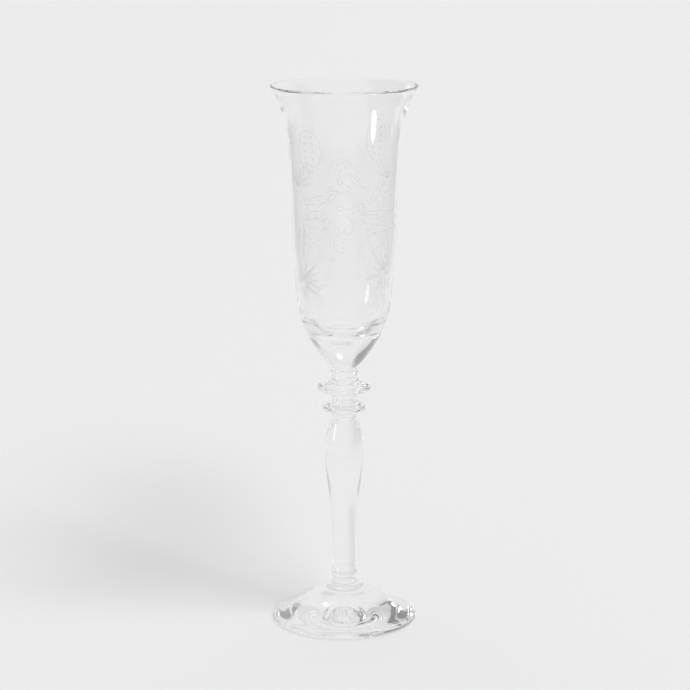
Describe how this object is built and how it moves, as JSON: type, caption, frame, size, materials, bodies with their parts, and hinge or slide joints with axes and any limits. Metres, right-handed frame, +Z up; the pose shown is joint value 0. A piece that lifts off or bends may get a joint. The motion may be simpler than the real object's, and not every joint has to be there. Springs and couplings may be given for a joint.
{
  "type": "champagne flute",
  "caption": "Tall clear glass champagne flute with a bell-shaped bowl, a baluster stem with rings and a conical foot, for sparkling wine.",
  "frame": {"origin": "on the table under the centre of the foot", "axes": "+Z up along the axis of the glass; it is round, so X and Y are alike"},
  "size_m": [0.066, 0.066, 0.245],
  "materials": {
    "clear_glass": "polished, clear and colourless",
    "etched_glass": "etched, satin white"
  },
  "bodies": {
    "root": {"bowl": "clear_glass", "bowl_neck": "clear_glass", "upper_ring": "clear_glass", "ring_spool": "clear_glass", "lower_ring": "clear_glass", "stem": "clear_glass", "foot_collar": "clear_glass", "foot": "clear_glass"}
  },
  "joints": []
}
